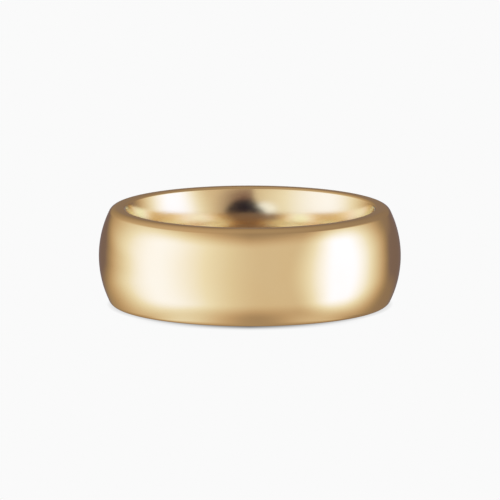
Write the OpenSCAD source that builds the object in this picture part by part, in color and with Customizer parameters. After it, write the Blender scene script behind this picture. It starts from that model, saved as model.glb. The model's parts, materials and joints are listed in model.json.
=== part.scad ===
// Plain wedding band: one closed ring of polished gold with a domed outside and a comfort-fit inside.
// Origin at the centre of the finger hole. +Z runs along the finger, and the band spans z = -4 to +4 mm.

/* [Band] */
// Width of the band along the finger, mm
band_w = 8; // [7:0.1:9]
// Outer diameter at the crown of the dome, mm
outer_d = 24.6; // [24:0.1:26]
// Diameter of the finger hole at its narrowest, mm
bore_d = 19.15; // [18.5:0.05:19.6]

/* [Outside] */
// Radius of the domed outer face in cross-section, mm
dome_r = 8.25; // [7.5:0.05:12]
// Radius that rounds the dome over into each rim, mm
shoulder_r = 0.685; // [0.3:0.005:0.9]

/* [Inside] */
// Radius of the comfort-fit curve in cross-section, mm
comfort_r = 10.25; // [9:0.05:20]
// Width of the straight land in the middle of the hole, mm
land_w = 1; // [0.6:0.1:2]
// Radius that rounds the comfort-fit curve into each rim, mm
edge_r = 0.26; // [0.1:0.01:0.4]

/* [Hidden] */
$fn = 240;
gold = "#D6B98D";
half_w = band_w / 2;
outer_r = outer_d / 2;
bore_r = bore_d / 2;
spare = 1; // how far a cutting shape runs past the band, mm

// Centres of the circles in the cross-section, as [distance from the axis, height]
dome_c = [outer_r - dome_r, 0];
shoulder_rise = half_w - shoulder_r;
shoulder_c = [dome_c.x + sqrt(pow(dome_r - shoulder_r, 2) - pow(shoulder_rise, 2)), shoulder_rise];
comfort_c = [bore_r + comfort_r, land_w / 2];
edge_rise = half_w - edge_r - comfort_c.y;
edge_c = [comfort_c.x - sqrt(pow(comfort_r - edge_r, 2) - pow(edge_rise, 2)), half_w - edge_r];

// Removes what lies outside a circle of radius r at c, in the corner between two rays from its centre.
module round_corner(c, r, toward_a, toward_b) {
  reach = 3 * r;
  a = toward_a * reach / norm(toward_a);
  b = toward_b * reach / norm(toward_b);
  difference() {
    polygon([c, c + a, c + a + b, c + b]);
    translate(c) circle(r = r);
  }
}

// What the upper half of the section loses: the comfort-fit hollow and the two rounded edges of the rim.
module upper_cuts() {
  difference() {
    translate([bore_r - spare, comfort_c.y]) square([spare + edge_c.x - bore_r, half_w]);
    translate(comfort_c) circle(r = comfort_r);
  }
  round_corner(shoulder_c, shoulder_r, shoulder_c - dome_c, [0, 1]);
  round_corner(edge_c, edge_r, edge_c - comfort_c, [0, 1]);
}

// Cross-section of the band, to the right of the finger's axis.
module section() {
  difference() {
    intersection() {
      translate([bore_r, -half_w]) square([outer_r, band_w]);
      translate(dome_c) circle(r = dome_r);
    }
    upper_cuts();
    mirror([0, 1]) upper_cuts();
  }
}

module band() {
  color(gold) rotate_extrude() section();
}

band();
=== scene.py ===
import json
import math

import bpy
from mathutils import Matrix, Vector


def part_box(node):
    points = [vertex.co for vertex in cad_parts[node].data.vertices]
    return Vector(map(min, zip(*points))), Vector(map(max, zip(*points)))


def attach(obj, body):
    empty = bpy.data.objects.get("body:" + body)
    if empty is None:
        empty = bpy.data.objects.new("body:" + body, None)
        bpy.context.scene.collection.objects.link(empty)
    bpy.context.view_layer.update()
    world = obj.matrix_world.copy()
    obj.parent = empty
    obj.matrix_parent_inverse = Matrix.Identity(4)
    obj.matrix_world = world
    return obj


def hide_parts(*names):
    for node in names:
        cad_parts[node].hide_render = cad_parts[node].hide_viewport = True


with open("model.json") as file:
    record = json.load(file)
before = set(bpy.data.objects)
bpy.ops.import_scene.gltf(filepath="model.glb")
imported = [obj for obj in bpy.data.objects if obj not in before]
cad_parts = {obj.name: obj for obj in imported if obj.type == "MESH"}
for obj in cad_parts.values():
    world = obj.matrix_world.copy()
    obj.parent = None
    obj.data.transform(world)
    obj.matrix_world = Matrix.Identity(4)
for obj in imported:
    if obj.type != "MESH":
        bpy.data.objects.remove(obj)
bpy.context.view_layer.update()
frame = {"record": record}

# A polished gold wedding band, lying on its rim on a pale table in a soft studio.
# Everything is in metres, and the finger's axis is Z. The camera side of the band faces -Y.

MM = 0.001

# ---------------------------------------------------------------- sizes of the band
band_lo, band_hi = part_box("band")
finger_bore = next(m for m in frame["record"]["mounts"] if m["name"] == "finger_bore")

OUTER_R = band_hi.x
HALF_W = band_hi.z
BORE_R = finger_bore["dims"]["r_mm"] * MM
DOME_R = 8.25 * MM        # the domed outside, in cross-section
SHOULDER_R = 0.685 * MM   # rounds the dome over into each rim
COMFORT_R = 10.25 * MM    # the comfort-fit inside, in cross-section
LAND_W = 1.0 * MM         # straight middle of the hole
EDGE_R = 0.26 * MM        # rounds the comfort-fit curve into each rim

# Steps along each arc of the cross-section, and round the band
DOME_STEPS = 26
SHOULDER_STEPS = 16
EDGE_STEPS = 12
COMFORT_STEPS = 14
TURN_STEPS = 384


# ---------------------------------------------------------------- shape
def arc(centre, radius, start, end, steps):
    """Points along an arc of the cross-section, each as (r, z, normal_r, normal_z)."""
    found = []
    for i in range(steps + 1):
        a = start + (end - start) * i / steps
        c, s = math.cos(a), math.sin(a)
        found.append((centre[0] + radius * c, centre[1] + radius * s, c, s))
    return found


def upper_half():
    """The cross-section from the land in the hole, over the upper rim, to the crown of the dome."""
    dome_c = (OUTER_R - DOME_R, 0.0)
    shoulder_rise = HALF_W - SHOULDER_R
    shoulder_reach = math.sqrt((DOME_R - SHOULDER_R) ** 2 - shoulder_rise ** 2)
    shoulder_c = (dome_c[0] + shoulder_reach, shoulder_rise)
    dome_end = math.atan2(shoulder_rise, shoulder_reach)

    comfort_c = (BORE_R + COMFORT_R, LAND_W / 2)
    edge_rise = HALF_W - EDGE_R - comfort_c[1]
    edge_reach = math.sqrt((COMFORT_R - EDGE_R) ** 2 - edge_rise ** 2)
    edge_c = (comfort_c[0] - edge_reach, HALF_W - EDGE_R)
    comfort_end = math.pi - math.atan2(edge_rise, edge_reach)

    upright = math.pi / 2
    return (
        arc(comfort_c, COMFORT_R, math.pi, comfort_end, COMFORT_STEPS)
        + arc(edge_c, EDGE_R, comfort_end, upright, EDGE_STEPS)[1:]
        + arc(shoulder_c, SHOULDER_R, upright, dome_end, SHOULDER_STEPS)
        + arc(dome_c, DOME_R, dome_end, 0.0, DOME_STEPS)[1:]
    )


def make_band():
    """Turns the cross-section round the finger's axis into one closed ring."""
    upper = upper_half()
    lower = [(r, -z, nr, -nz) for r, z, nr, nz in reversed(upper[:-1])]
    section = upper + lower
    count = len(section)

    points = []
    normals = []
    for turn in range(TURN_STEPS):
        a = 2 * math.pi * turn / TURN_STEPS
        c, s = math.cos(a), math.sin(a)
        for r, z, nr, nz in section:
            points.append((r * c, r * s, z))
            normals.append((nr * c, nr * s, nz))

    faces = []
    for turn in range(TURN_STEPS):
        here = turn * count
        there = (turn + 1) % TURN_STEPS * count
        for i in range(count):
            j = (i + 1) % count
            faces.append((here + i, here + j, there + j, there + i))

    mesh = bpy.data.meshes.new("gold_band")
    mesh.from_pydata(points, [], faces)
    mesh.validate()
    mesh.shade_smooth()
    mesh.normals_split_custom_set_from_vertices(normals)
    band = bpy.data.objects.new("gold_band", mesh)
    bpy.context.scene.collection.objects.link(band)
    return band


# ---------------------------------------------------------------- node helpers
def add(tree, kind, **settings):
    """Adds a node and sets its own properties."""
    node = tree.nodes.new(kind)
    for name, value in settings.items():
        setattr(node, name, value)
    return node


def feed(tree, socket, value):
    """Puts a number or another node's output into an input."""
    if isinstance(value, bpy.types.NodeSocket):
        tree.links.new(value, socket)
    else:
        socket.default_value = value


def maths(tree, operation, *values):
    node = add(tree, "ShaderNodeMath", operation=operation)
    for socket, value in zip(node.inputs, values):
        feed(tree, socket, value)
    return node.outputs[0]


def square(tree, value, size=1.0):
    """(value / size) squared."""
    scaled = maths(tree, "DIVIDE", value, size)
    return maths(tree, "MULTIPLY", scaled, scaled)


def distance(tree, x, y):
    """The length of the vector (x, y)."""
    return maths(tree, "SQRT", maths(tree, "ADD", square(tree, x), square(tree, y)))


def smooth(tree, value, start, end):
    """0 before start, 1 past end, with a soft step between."""
    node = add(tree, "ShaderNodeMapRange", interpolation_type="SMOOTHSTEP")
    for name, given in (("Value", value), ("From Min", start), ("From Max", end)):
        feed(tree, node.inputs[name], given)
    return node.outputs["Result"]


def ramp(tree, value, stops, scale=1.0):
    """A colour ramp whose stops are (position, colour), with positions divided by scale."""
    node = add(tree, "ShaderNodeValToRGB")
    feed(tree, node.inputs["Fac"], maths(tree, "DIVIDE", value, scale))
    elements = node.color_ramp.elements
    while len(elements) < len(stops):
        elements.new(1.0)
    for element, (position, colour) in zip(elements, stops):
        element.position = position / scale
        element.color = (*colour, 1.0)
    return node.outputs["Color"]


def noise(tree, vector, scale, detail, roughness=0.5):
    """Fractal noise, from 0 to 1, in cycles per metre."""
    node = add(tree, "ShaderNodeTexNoise")
    for name, given in (("Vector", vector), ("Scale", scale), ("Detail", detail), ("Roughness", roughness)):
        feed(tree, node.inputs[name], given)
    return node.outputs["Fac"]


# ---------------------------------------------------------------- gold
GOLD = (0.93, 0.72, 0.45)
GOLD_WARM = (0.93, 0.705, 0.425)
GOLD_SLANT = (0.88, 0.80, 0.66)   # its tint where it is seen at a slant
TONE_SCALE = 160.0                # every scale is in cycles per metre
TONE_BLEND = (0.35, 0.65)         # from the warm gold to the plain gold
LINES_SCALE = 500.0
LINES_STRETCH = 40.0              # along the finger's axis, so the noise becomes lines round the band
CLOUD_SCALE = 900.0
POLISH = 0.05                     # the least roughness
POLISH_CLOUD = 0.05               # what the clouds and the lines add to it
POLISH_LINES = 0.03
HOLLOW = (10.3 * MM, 10.0 * MM)   # the radius where the inside begins
HOLLOW_ROUGH = 0.07               # how much less polished the inside is
LINES_BUMP = 0.05
LINES_DEPTH = 0.01 * MM


def gold_material():
    """High-polish yellow gold: a mirror with faint lathe lines and slow changes of tone and polish."""
    material = bpy.data.materials.new("polished_gold")
    material.use_nodes = True
    tree = material.node_tree
    shader = tree.nodes["Principled BSDF"]
    shader.inputs["Metallic"].default_value = 1.0
    shader.inputs["Specular Tint"].default_value = (*GOLD_SLANT, 1.0)
    where = add(tree, "ShaderNodeTexCoord").outputs["Object"]

    tone = noise(tree, where, TONE_SCALE, 3.0)
    colour = ramp(tree, tone, [(TONE_BLEND[0], GOLD_WARM), (TONE_BLEND[1], GOLD)])
    tree.links.new(colour, shader.inputs["Base Color"])

    stretch = add(tree, "ShaderNodeMapping")
    stretch.inputs["Scale"].default_value = (1.0, 1.0, LINES_STRETCH)
    tree.links.new(where, stretch.inputs["Vector"])
    lathe_lines = noise(tree, stretch.outputs["Vector"], LINES_SCALE, 4.0)

    cloud = noise(tree, where, CLOUD_SCALE, 4.0)
    rough = maths(tree, "MULTIPLY_ADD", cloud, POLISH_CLOUD, POLISH)
    rough = maths(tree, "MULTIPLY_ADD", lathe_lines, POLISH_LINES, rough)
    split = add(tree, "ShaderNodeSeparateXYZ")
    tree.links.new(where, split.inputs["Vector"])
    x, y, _ = split.outputs
    radius = distance(tree, x, y)
    rough = maths(tree, "MULTIPLY_ADD", smooth(tree, radius, *HOLLOW), HOLLOW_ROUGH, rough)
    tree.links.new(rough, shader.inputs["Roughness"])

    bump = add(tree, "ShaderNodeBump")
    bump.inputs["Strength"].default_value = LINES_BUMP
    bump.inputs["Distance"].default_value = LINES_DEPTH
    tree.links.new(lathe_lines, bump.inputs["Height"])
    tree.links.new(bump.outputs["Normal"], shader.inputs["Normal"])
    return material


# ---------------------------------------------------------------- studio
# A soft edge is a pair of numbers: where it begins, and where it is full.
PALE = (0.956, 0.956, 0.956)   # table and background
TABLE_LENGTH = 4.0
CONTACT = 0.4 * MM             # reach and depth of the painted shade, a dark line where the band touches the table
CONTACT_DEPTH = 0.25
SHADOW = 0.80                  # the soft shadow in front of and behind the band
SHADOW_ACROSS = 9.5 * MM       # it has faded away this far to each side
SHADOW_OUTWARD = (13.0 * MM, 10.6 * MM)
HOLE_SHADOW = 0.24             # the table seen through the band, darker towards its edge
HOLE_REACH = (2.0 * MM, 11.0 * MM)
HOLE_EDGE = (10.6 * MM, 9.8 * MM)

# How bright the studio is, as the band mirrors it. Angles are in degrees. An azimuth of 0 is the
# camera's side, and positive is to the right.
FRONT = 0.65                   # the pale wall in front
LEFT_BOX = 0.65                # what each softbox adds to it
LEFT_FADE = (13.0, -78.0)      # its near edge
LEFT_BACK = (-157.0, -80.0)    # where the walls end behind it
RIGHT_BOX = 0.75
RIGHT_FADE = (27.0, 68.0)
RIGHT_BACK = (142.0, 84.0)
RIGHT_ROUND = 18.0             # how far its near edge curves away above and below

# The lit walls fill an oval. Outside it is the dim room, darkest along its horizon.
WALLS_HALF_TURN = 154.0
WALLS_HALF_HEIGHT = 38.5
WALLS_MIDDLE = -6.5
WALLS_TALLER = 2.5             # towards both sides
WALLS_HIGHER = 2.0             # towards the right
WALLS_EDGE = (1.30, 0.79)
ROOM = 0.135
ROOM_RISE = 0.10               # how much brighter it is above and below the dark horizon
ROOM_SIDES = 0.14
ROOM_LEFT = 0.13
ROOM_CEILING = 0.10
HORIZON = -6.0
HORIZON_EDGE = (2.0, 13.0)

# Far down, the table is mirrored: dark near the band and bright to its sides.
TABLE_EDGE = (-40.0, -58.0)
TABLE = 0.34                   # straight down
TABLE_SIDES = 1.50
TABLE_LEFT = 0.25

# The hollow mirrors itself. From its second reflections on, the walls are brighter and taller, the room
# is darker and the colours are paler. Third reflections are brighter and paler again, and see the studio
# turned front to back.
AGAIN_GAIN = 0.30
AGAIN_DROP = -0.07
AGAIN_TALLER = 20.0
AGAIN_ROOM = 0.55              # how much darker the dim room is
AGAIN_TINT = (0.96, 1.0, 1.08)
THIRD_GAIN = 0.90
THIRD_TINT = (0.97, 1.15, 1.50)

# How the picture records it, like film: dim parts turn warm and bright parts run to white.
TONE = [
    (0.18, (0.22, 0.18, 0.20)),
    (0.30, (0.37, 0.30, 0.22)),
    (0.45, (0.55, 0.45, 0.33)),
    (0.60, (0.67, 0.60, 0.48)),
    (0.80, (0.79, 0.80, 0.71)),
    (1.00, (0.91, 1.00, 1.01)),
    (1.30, (1.07, 1.30, 1.85)),
    (1.45, (1.12, 1.45, 2.50)),
    (1.80, (1.14, 1.80, 2.60)),
]


def studio_level(tree, direction, again, third):
    """Brightness of the studio. Again is 1 from the second reflection on, third only in the third."""
    split = add(tree, "ShaderNodeSeparateXYZ")
    tree.links.new(direction, split.inputs["Vector"])
    x, y, z = split.outputs
    front_sign = maths(tree, "MULTIPLY_ADD", third, 2.0, -1.0)
    towards_camera = maths(tree, "MULTIPLY", y, front_sign)
    azimuth = maths(tree, "DEGREES", maths(tree, "ARCTAN2", x, towards_camera))
    elevation = maths(tree, "DEGREES", maths(tree, "ARCSINE", z))

    aside = maths(tree, "ABSOLUTE", x)
    rise = maths(tree, "MULTIPLY_ADD", aside, ROOM_SIDES, ROOM_RISE)
    rise = maths(tree, "MULTIPLY_ADD", x, -ROOM_LEFT, rise)
    from_horizon = maths(tree, "ABSOLUTE", maths(tree, "SUBTRACT", elevation, HORIZON))
    room = maths(tree, "MULTIPLY_ADD", rise, smooth(tree, from_horizon, *HORIZON_EDGE), ROOM)
    room = maths(tree, "MULTIPLY_ADD", square(tree, z), ROOM_CEILING, room)

    table = maths(tree, "MULTIPLY_ADD", square(tree, x), TABLE_SIDES, TABLE)
    table = maths(tree, "MULTIPLY_ADD", x, -TABLE_LEFT, table)
    to_table = maths(tree, "SUBTRACT", table, room)
    room = maths(tree, "MULTIPLY_ADD", to_table, smooth(tree, elevation, *TABLE_EDGE), room)
    room = maths(tree, "MULTIPLY", room, maths(tree, "MULTIPLY_ADD", again, -AGAIN_ROOM, 1.0))

    middle = maths(tree, "MULTIPLY_ADD", maths(tree, "MAXIMUM", x, 0.0), WALLS_HIGHER, WALLS_MIDDLE)
    above = maths(tree, "SUBTRACT", elevation, middle)
    half_height = maths(tree, "MULTIPLY_ADD", aside, WALLS_TALLER, WALLS_HALF_HEIGHT)
    half_height = maths(tree, "MULTIPLY_ADD", again, AGAIN_TALLER, half_height)
    across = square(tree, azimuth, WALLS_HALF_TURN)
    upward = square(tree, above, half_height)
    from_middle = maths(tree, "SQRT", maths(tree, "ADD", across, upward))
    rounded = maths(tree, "MULTIPLY_ADD", upward, -RIGHT_ROUND, azimuth)
    walls = maths(tree, "MULTIPLY_ADD", smooth(tree, azimuth, *LEFT_FADE), LEFT_BOX, FRONT)
    walls = maths(tree, "MULTIPLY_ADD", smooth(tree, rounded, *RIGHT_FADE), RIGHT_BOX, walls)
    lit = smooth(tree, from_middle, *WALLS_EDGE)
    lit = maths(tree, "MULTIPLY", lit, smooth(tree, azimuth, *LEFT_BACK))
    lit = maths(tree, "MULTIPLY", lit, smooth(tree, azimuth, *RIGHT_BACK))
    return maths(tree, "MULTIPLY_ADD", maths(tree, "SUBTRACT", walls, room), lit, room)


def studio_world():
    """A soft studio that only reflections see. The camera sees a plain pale background."""
    world = bpy.data.worlds.new("studio")
    bpy.context.scene.world = world
    world.use_nodes = True
    tree = world.node_tree
    tree.nodes.clear()

    rays = add(tree, "ShaderNodeLightPath")
    again = maths(tree, "GREATER_THAN", rays.outputs["Glossy Depth"], 1.5)
    third = maths(tree, "COMPARE", rays.outputs["Glossy Depth"], 3.0, 0.5)
    gain = maths(tree, "MULTIPLY_ADD", again, AGAIN_GAIN, 1.0)
    gain = maths(tree, "MULTIPLY_ADD", third, THIRD_GAIN, gain)
    drop = maths(tree, "MULTIPLY", again, AGAIN_DROP)

    direction = add(tree, "ShaderNodeTexCoord").outputs["Generated"]
    level = maths(tree, "MULTIPLY_ADD", studio_level(tree, direction, again, third), gain, drop)
    paler = add(tree, "ShaderNodeCombineXYZ")
    for socket, again_tint, third_tint in zip(paler.inputs, AGAIN_TINT, THIRD_TINT):
        tint = maths(tree, "POWER", again_tint, again)
        more = maths(tree, "POWER", third_tint, third)
        feed(tree, socket, maths(tree, "MULTIPLY", tint, more))
    colour = add(tree, "ShaderNodeVectorMath", operation="MULTIPLY")
    tree.links.new(ramp(tree, level, TONE, TONE[-1][0]), colour.inputs[0])
    tree.links.new(paler.outputs[0], colour.inputs[1])
    mirrored = add(tree, "ShaderNodeBackground")
    tree.links.new(colour.outputs[0], mirrored.inputs["Color"])
    seen = add(tree, "ShaderNodeBackground")
    seen.inputs["Color"].default_value = (*PALE, 1.0)

    choice = add(tree, "ShaderNodeMixShader")
    tree.links.new(rays.outputs["Is Camera Ray"], choice.inputs["Fac"])
    tree.links.new(mirrored.outputs[0], choice.inputs[1])
    tree.links.new(seen.outputs[0], choice.inputs[2])
    output = add(tree, "ShaderNodeOutputWorld")
    tree.links.new(choice.outputs[0], output.inputs["Surface"])


def sheet_object(name, corners):
    """A flat four-cornered piece of the studio."""
    mesh = bpy.data.meshes.new(name)
    mesh.from_pydata(corners, [], [(0, 1, 2, 3)])
    sheet = bpy.data.objects.new(name, mesh)
    bpy.context.scene.collection.objects.link(sheet)
    return sheet


def empty_material(name):
    """A new material with only its output node, as (material, tree, surface input)."""
    material = bpy.data.materials.new(name)
    material.use_nodes = True
    tree = material.node_tree
    tree.nodes.clear()
    return material, tree, add(tree, "ShaderNodeOutputMaterial").inputs["Surface"]


def make_table():
    """A back-lit pale table, darker in a painted shadow and in painted shade close to where the band
    touches it.
    """
    half = TABLE_LENGTH / 2
    z = band_lo.z
    table = sheet_object("table", [(-half, -half, z), (half, -half, z), (half, half, z), (-half, half, z)])
    table.visible_glossy = False

    material, tree, surface = empty_material("pale_table")
    split = add(tree, "ShaderNodeSeparateXYZ")
    tree.links.new(add(tree, "ShaderNodeTexCoord").outputs["Object"], split.inputs["Vector"])
    x, y, _ = split.outputs
    across = maths(tree, "DIVIDE", maths(tree, "ABSOLUTE", x), SHADOW_ACROSS)
    across = maths(tree, "MAXIMUM", maths(tree, "SUBTRACT", 1.0, across), 0.0)
    radius = distance(tree, x, y)
    outward = smooth(tree, radius, *SHADOW_OUTWARD)
    shadow = maths(tree, "MULTIPLY", maths(tree, "MULTIPLY", across, outward), SHADOW)

    in_hole = smooth(tree, radius, *HOLE_EDGE)
    hole_shadow = maths(tree, "MULTIPLY", smooth(tree, radius, *HOLE_REACH), HOLE_SHADOW)
    hole_shadow = maths(tree, "SUBTRACT", hole_shadow, shadow)
    shadow = maths(tree, "MULTIPLY_ADD", hole_shadow, in_hole, shadow)

    # Painted shade: a thin dark line on the table where the band comes close to it.
    shade = add(tree, "ShaderNodeAmbientOcclusion", samples=16)
    shade.inputs["Distance"].default_value = CONTACT
    contact_shade = maths(tree, "MULTIPLY", maths(tree, "SUBTRACT", 1.0, shade.outputs["AO"]), CONTACT_DEPTH)
    unshaded = maths(tree, "SUBTRACT", 1.0, shadow)
    light = maths(tree, "MULTIPLY", unshaded, maths(tree, "SUBTRACT", 1.0, contact_shade))

    glow = add(tree, "ShaderNodeEmission")
    glow.inputs["Color"].default_value = (*PALE, 1.0)
    tree.links.new(light, glow.inputs["Strength"])
    tree.links.new(glow.outputs[0], surface)
    table.data.materials.append(material)


# The camera's reflection in the hollow of the band: a dark core in a brown haze, both cut off on the
# left by a leaning side, with a bright glint beyond it. It is painted on a card that stands over the
# front rim. Only first reflections from the far side of the hollow see it. Sizes are in mm: x across,
# z up.
LENS_Y = -9.9
LENS_X = (-14.0, 13.5)
LENS_Z = (4.05, 16.0)
LENS_REACH = 12.0              # the far side of the hollow is further from the card than this
CORE = (0.0, 0.0, 0.02)
CORE_MIDDLE = (1.2, 4.2)
CORE_HALF = (5.7, 6.4)
CORE_SOFT = (1.06, 0.78)
HAZE = (0.13, 0.05, 0.06)
HAZE_COVER = 0.88
HAZE_ACROSS = (12.5, 0.5)
HAZE_UP = (20.0, 11.0)
SIDE_X = -0.9                  # the leaning side, at its top
SIDE_TOP = 13.0
SIDE_DROP = 8.4                # this far below its top
SIDE_LEAN = 2.9                # it has moved this far to the left
SIDE_CURVE = 2.2
SIDE_SOFT = 0.3
GLINT_MIDDLE = (-4.2, 6.3)
GLINT_HALF = (3.6, 2.9)
GLINT_SOFT = (1.1, 0.6)
GLINT = (1.0, 1.2, 1.5)


def oval(tree, x, z, middle, half, soft):
    """1 inside an oval, with a soft edge."""
    across = square(tree, maths(tree, "SUBTRACT", x, middle[0]), half[0])
    upward = square(tree, maths(tree, "SUBTRACT", z, middle[1]), half[1])
    return smooth(tree, maths(tree, "SQRT", maths(tree, "ADD", across, upward)), *soft)


def make_lens():
    """A card with the camera's reflection painted on it."""
    y = LENS_Y * MM
    lo_x, hi_x = LENS_X[0] * MM, LENS_X[1] * MM
    lo_z, hi_z = LENS_Z[0] * MM, LENS_Z[1] * MM
    lens = sheet_object("lens", [(lo_x, y, lo_z), (hi_x, y, lo_z), (hi_x, y, hi_z), (lo_x, y, hi_z)])
    lens.visible_camera = False
    lens.visible_diffuse = False
    lens.visible_shadow = False

    material, tree, surface = empty_material("lens")
    split = add(tree, "ShaderNodeSeparateXYZ")
    tree.links.new(add(tree, "ShaderNodeTexCoord").outputs["Object"], split.inputs["Vector"])
    x = maths(tree, "DIVIDE", split.outputs["X"], MM)
    z = maths(tree, "DIVIDE", split.outputs["Z"], MM)

    below = maths(tree, "MAXIMUM", maths(tree, "SUBTRACT", SIDE_TOP, z), 0.0)
    below = maths(tree, "DIVIDE", below, SIDE_DROP)
    lean = maths(tree, "MULTIPLY", maths(tree, "POWER", below, SIDE_CURVE), SIDE_LEAN)
    past_side = maths(tree, "SUBTRACT", maths(tree, "ADD", x, lean), SIDE_X)
    dark_side = smooth(tree, past_side, -SIDE_SOFT, SIDE_SOFT)

    core = oval(tree, x, z, CORE_MIDDLE, CORE_HALF, CORE_SOFT)
    core = maths(tree, "MULTIPLY", core, dark_side)
    haze = maths(tree, "MULTIPLY", smooth(tree, x, *HAZE_ACROSS), smooth(tree, z, *HAZE_UP))
    haze = maths(tree, "MULTIPLY", maths(tree, "MULTIPLY", haze, HAZE_COVER), dark_side)
    glint = oval(tree, x, z, GLINT_MIDDLE, GLINT_HALF, GLINT_SOFT)
    glint = maths(tree, "MULTIPLY", glint, maths(tree, "SUBTRACT", 1.0, dark_side))

    rays = add(tree, "ShaderNodeLightPath")
    first = maths(tree, "LESS_THAN", rays.outputs["Glossy Depth"], 1.5)
    far = maths(tree, "GREATER_THAN", rays.outputs["Ray Length"], LENS_REACH * MM)
    seen = maths(tree, "MULTIPLY", first, far)
    shown = add(tree, "ShaderNodeBsdfTransparent").outputs[0]
    for amount, colour in ((haze, HAZE), (core, CORE), (glint, GLINT)):
        paint = add(tree, "ShaderNodeEmission")
        paint.inputs["Color"].default_value = (*colour, 1.0)
        mixed = add(tree, "ShaderNodeMixShader")
        tree.links.new(maths(tree, "MULTIPLY", amount, seen), mixed.inputs["Fac"])
        tree.links.new(shown, mixed.inputs[1])
        tree.links.new(paint.outputs[0], mixed.inputs[2])
        shown = mixed.outputs[0]
    tree.links.new(shown, surface)
    lens.data.materials.append(material)


# ---------------------------------------------------------------- camera
CAMERA_ELEVATION = math.radians(9.45)
CAMERA_DISTANCE = 1.23
FRAME_WIDTH = 40.73 * MM       # what the picture spans at the band
SENSOR = 36.0
BAND_LEFT = 0.015 * MM         # how far the band's centre lies left of and below the picture's centre
BAND_BELOW = 0.438 * MM


def make_camera():
    """A distant camera at the photograph's angle."""
    e = CAMERA_ELEVATION
    towards = Vector((0.0, -math.cos(e), math.sin(e)))
    up = Vector((0.0, math.sin(e), math.cos(e)))
    right = Vector((1.0, 0.0, 0.0))
    data = bpy.data.cameras.new("camera")
    data.sensor_width = SENSOR
    data.lens = SENSOR * CAMERA_DISTANCE / FRAME_WIDTH
    data.clip_start = CAMERA_DISTANCE / 10
    data.clip_end = CAMERA_DISTANCE * 4
    camera = bpy.data.objects.new("camera", data)
    bpy.context.scene.collection.objects.link(camera)
    camera.location = towards * CAMERA_DISTANCE + up * BAND_BELOW + right * BAND_LEFT
    camera.rotation_mode = "QUATERNION"
    camera.rotation_quaternion = (-towards).to_track_quat("-Z", "Y")
    bpy.context.scene.camera = camera


# ---------------------------------------------------------------- the scene
gold_band = make_band()
gold_band.data.materials.append(gold_material())
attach(gold_band, "root")
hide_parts("band")

make_table()
make_lens()
studio_world()
make_camera()
bpy.context.scene.view_settings.view_transform = "Standard"
